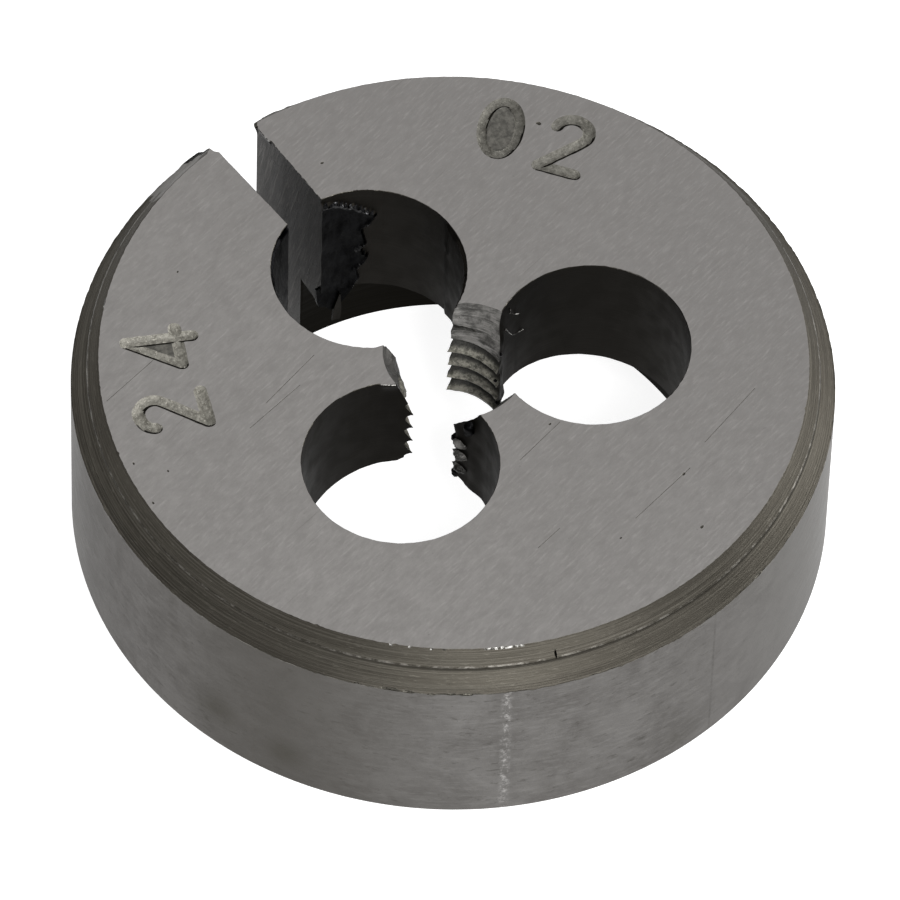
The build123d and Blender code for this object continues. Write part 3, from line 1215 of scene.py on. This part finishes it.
def sunk(points, depth, surface):
    """What a patch that the punch pushed down takes away."""
    middle = sum(points, Vector()) / len(points)
    loops = [[middle + (p - middle) * share + Vector((0, 0, height)) for p in points]
             for share, height in ((1.12, TOP + 0.06), (1.0, TOP), (0.90, TOP - depth))]
    return loft("sunk_tool", loops, surface)


def straight(start, end, steps=10):
    """Points along a straight stroke."""
    a, b = Vector((*start, 0)), Vector((*end, 0))
    return [a + (b - a) * i / steps for i in range(steps + 1)]


def arc(middle, radius, start, end, steps=16):
    """Points along an arc of a circle or an ellipse, between two angles in degrees."""
    across, up = radius
    turns = [radians(start + (end - start) * i / steps) for i in range(steps + 1)]
    return [Vector((middle[0] + across * cos(t), middle[1] + up * sin(t), 0)) for t in turns]


# The marks of each figure. A 0 is a ring round a middle that the punch pushed down a little, and a 4 has
# its closed middle pushed down.
ZERO = (
    ("sunk", arc((0, 0), (0.50, 0.98), 0, 352.5, 47)),
    ("ring", arc((0, 0), (0.60, 1.10), 0, 352.5, 47)),
)
TWO = (
    ("line", arc((0.02, 0.60), (0.56, 0.52), 172, -28) + straight((0.42, 0.22), (-0.60, -1.06))),
    ("line", straight((-0.60, -1.08), (0.66, -1.04))),
)
FOUR = (
    ("sunk", [Vector(p) for p in ((0.22, 0.95, 0), (-0.80, -0.58, 0), (0.22, -0.58, 0))]),
    ("line", straight((0.24, 1.05), (-0.84, -0.60))),
    ("line", straight((-0.84, -0.62), (0.62, -0.60))),
    ("line", straight((0.26, 1.05), (0.24, -1.12))),
)

# Each figure's marks, the angle and radius of its middle, and its turn
NUMBERS = (
    (TWO, 156.6, 9.42, -2.0),
    (FOUR, 140.2, 9.62, 12.0),
    (ZERO, 43.0, 9.58, 0.0),
    (TWO, 29.4, 9.50, 3.0),
)


def stamp_numbers(body):
    """Punches the plain numbers, upright when seen from the die's middle."""
    for number, (marks, angle, radius, lean) in enumerate(NUMBERS):
        up = polar(1, angle + lean)
        right = Vector((up.y, -up.x, 0))
        middle = polar(radius, angle)
        for index, (kind, points) in enumerate(marks):
            placed = [middle + right * p.x + up * p.y for p in points]
            seed = 80 + 5 * number + index
            if kind == "sunk":
                cut(body, sunk(placed, SUNK_DEPTH, "stamp_floor"))
            elif kind == "ring":
                cut(body, ring_stroke(placed, RING_HALF, PUNCH_DEPTH, "stamp", seed))
            else:
                cut(body, stroke(placed, PUNCH_HALF, PUNCH_DEPTH, "stamp", seed))


# Scratches on the top face, from and to
SCRATCHES = (
    ((-10.09, 5.39), (-7.67, 5.85)), ((-6.00, 2.22), (-3.58, 2.83)), ((-7.03, 1.73), (-4.68, 2.14)),
    ((0.77, -8.61), (3.41, -8.09)), ((4.44, -7.57), (7.10, -6.84)), ((1.17, -4.11), (-0.80, -4.54)),
    ((-2.49, -7.65), (-1.44, -7.45)),
)
SCRATCH_HALF = 0.011
SCRATCH_DEPTH = 0.004

# Small pits in the top face: place and size
PITS = (
    (8.13, 5.95, 0.060), (-10.90, 2.86, 0.035), (-10.19, 1.95, 0.030), (-11.34, 1.22, 0.035),
    (0.86, -3.98, 0.035), (3.10, -8.16, 0.040), (2.26, -10.17, 0.045), (-0.11, -8.94, 0.030),
    (1.40, 8.93, 0.040), (-5.10, 8.20, 0.030),
)

# Chips in the chamfer's foot and one higher up: angle, radius, height, and size around, outward and up
CHIPS = (
    (222.9, 12.49, CHAMFER_FOOT + 0.02, 0.35, 0.06, 0.05),
    (225.6, 12.49, CHAMFER_FOOT - 0.01, 0.20, 0.05, 0.05),
    (229.1, 12.50, CHAMFER_FOOT - 0.03, 0.16, 0.04, 0.04),
    (232.0, 12.49, CHAMFER_FOOT + 0.02, 0.16, 0.05, 0.04),
    (234.3, 12.49, CHAMFER_FOOT - 0.02, 0.22, 0.05, 0.05),
    (284.5, 12.49, CHAMFER_FOOT + 0.02, 0.22, 0.05, 0.05),
    (248.25, 11.90, TOP - 0.34, 0.040, 0.10, 0.42),
)


def chip(place, size, seed, surface="chipped"):
    """An uneven pebble, for a small chip or a lump."""
    ball = bmesh.new()
    bmesh.ops.create_icosphere(ball, subdivisions=3, radius=1.0)
    out = Vector((place.x, place.y, 0)).normalized()
    around = UP.cross(out)
    placed = []
    for corner in ball.verts:
        bulge = 1 + 0.28 * wobble(seed, *(corner.co * 1.6)) + 0.10 * wobble(seed + 1, *(corner.co * 4.0))
        v = corner.co * bulge
        placed.append(place + around * v.x * size[0] + out * v.y * size[1] + Vector((0, 0, v.z * size[2])))
    faces = [tuple(v.index for v in f.verts) for f in ball.faces]
    ball.free()
    return mesh_object("chip_tool", placed, faces, [surface] * len(faces))


def scratches(body):
    """Cuts the fine scratches and the small pits into the top face."""
    for seed, (start, end) in enumerate(SCRATCHES):
        cut(body, stroke(straight(start, end, 24), SCRATCH_HALF, SCRATCH_DEPTH, "stamp_floor", 200 + seed))
    for seed, (x, y, size) in enumerate(PITS):
        cut(body, chip(Vector((x, y, TOP)), (size * 1.6, size, size * 0.5), 220 + seed))


# Edges sharper than this many degrees stay sharp, and points nearer than this are welded
SMOOTH_LIMIT = 32.0
WELD = 0.0004


def shade(work):
    """Shades a mesh smooth, apart from the flat top face and its sharp edges."""
    for face in work.faces:
        face.smooth = face.material_index != SLOT_OF["ground_top"]
    for line in work.edges:
        flat = len(line.link_faces) == 2 and line.calc_face_angle(0.0) < radians(SMOOTH_LIMIT)
        line.smooth = flat and line.link_faces[0].material_index == line.link_faces[1].material_index


def weld(work):
    """Welds doubled points and drops edges and faces with no size."""
    bmesh.ops.remove_doubles(work, verts=work.verts, dist=WELD)
    bmesh.ops.dissolve_degenerate(work, edges=work.edges, dist=WELD)


def die_body():
    """The whole die as one mesh."""
    body = blank()
    for index in range(HOLE_COUNT):
        cut(body, chip_hole(index))
    cut(body, slot())
    cut(body, bore_and_recess())
    cut(body, thread_groove())
    torn_metal(body)
    for curl in SWARF:
        join(body, wire(curl, SWARF_RADIUS, "edge"))
    join(body, wire(LIP, LIP_RADIUS, "edge"))
    cut(body, chip(Vector(BROKEN_END[0]), BROKEN_END[1], 260, "burr"))
    for seed, (place, size, surface) in enumerate(LUMPS):
        join(body, chip(Vector(place), size, 240 + seed, surface))
    for side in (-1, 1):
        cut(body, seat(side))
    stamp_numbers(body)
    scratches(body)
    for seed, (angle, radius, height, *size) in enumerate(CHIPS):
        cut(body, chip(polar(radius, angle, height), size, 90 + seed))
    edit(body.data, weld)
    body.data.validate(clean_customdata=False)
    body.data.transform(Matrix.Scale(MM, 4))
    edit(body.data, shade)
    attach(body, "root")
    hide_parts("round_die")


die_body()


# Floor, lights and camera

FLOOR_SIZE = 1.2
FLOOR_DROP = 0.00002


def floor():
    """The plain pale floor, bright enough to stay white beside the metal."""
    s = Shader("pale_floor")
    s.colour = (0.5, 0.5, 0.5)
    s.finish(0.9, metallic=0.0, **{"Emission Color": (1.0, 1.0, 1.0, 1.0), "Emission Strength": 0.9})
    half = FLOOR_SIZE / 2
    mesh = bpy.data.meshes.new("floor")
    corners = [(x * half, y * half, -FLOOR_DROP) for x, y in ((-1, -1), (1, -1), (1, 1), (-1, 1))]
    mesh.from_pydata(corners, [], [(0, 1, 2, 3)])
    mesh.materials.append(s.material)
    in_scene("floor", mesh)


floor()

# The camera, as fitted to the photograph's frame of 900 pixels
FRAME_PIXELS = 900
CAMERA_HEIGHT_ANGLE = 53.963
CAMERA_TURN = -39.263
CAMERA_ROLL = 1.944
CAMERA_DISTANCE = 400.0
FOCAL_PIXELS = 12272.8
TOP_CENTRE_X = 454.04
TOP_CENTRE_Y = 357.91
SENSOR = 36.0


def camera():
    """The camera at the photograph's viewing angle."""
    height = radians(CAMERA_HEIGHT_ANGLE)
    turn = Matrix.Rotation(radians(CAMERA_TURN), 3, "Z")
    back = turn @ Vector((0, -cos(height), sin(height)))
    level = turn @ Vector((1, 0, 0))
    upright = back.cross(level)
    roll = radians(CAMERA_ROLL)
    right = level * cos(roll) + upright * sin(roll)
    up = upright * cos(roll) - level * sin(roll)
    beside = (TOP_CENTRE_X - FRAME_PIXELS / 2) / FOCAL_PIXELS * CAMERA_DISTANCE
    above = -(TOP_CENTRE_Y - FRAME_PIXELS / 2) / FOCAL_PIXELS * CAMERA_DISTANCE
    place = Vector((0, 0, TOP)) - right * beside - up * above + back * CAMERA_DISTANCE
    data = bpy.data.cameras.new("camera")
    data.sensor_width = SENSOR
    data.lens = FOCAL_PIXELS / FRAME_PIXELS * SENSOR
    data.clip_start = 0.02
    data.clip_end = 10.0
    item = in_scene("camera", data)
    rows = [(right[i], up[i], back[i], place[i] * MM) for i in range(3)]
    item.matrix_world = Matrix((*rows, (0, 0, 0, 1)))
    bpy.context.scene.camera = item


camera()

# How far the lights stand from the die, and how bright the surroundings are
LIGHT_DISTANCE = 0.5
SURROUNDINGS = 0.62


def softbox(name, turn, height, size, power):
    """A square light at an angle from the camera's side, facing the die."""
    data = bpy.data.lights.new(name, "AREA")
    data.size = size
    data.energy = power
    item = in_scene(name, data)
    direction = polar(cos(radians(height)), 270 + CAMERA_TURN + turn, sin(radians(height)))
    item.location = direction * LIGHT_DISTANCE
    item.rotation_euler = direction.to_track_quat("Z", "Y").to_euler()


def lights():
    """Soft light all round, a key from the camera's right, a wide low light in front and one at the right."""
    world = bpy.data.worlds.new("studio")
    world.use_nodes = True
    background = world.node_tree.nodes["Background"].inputs
    background[0].default_value = (1, 1, 1, 1)
    background[1].default_value = SURROUNDINGS
    bpy.context.scene.world = world
    softbox("key", 16, 52, 0.10, 1.2)
    softbox("front", 20, 22, 0.42, 2.2)
    softbox("side", 112, 14, 0.34, 2.4)


lights()
bpy.context.scene.view_settings.view_transform = "Standard"
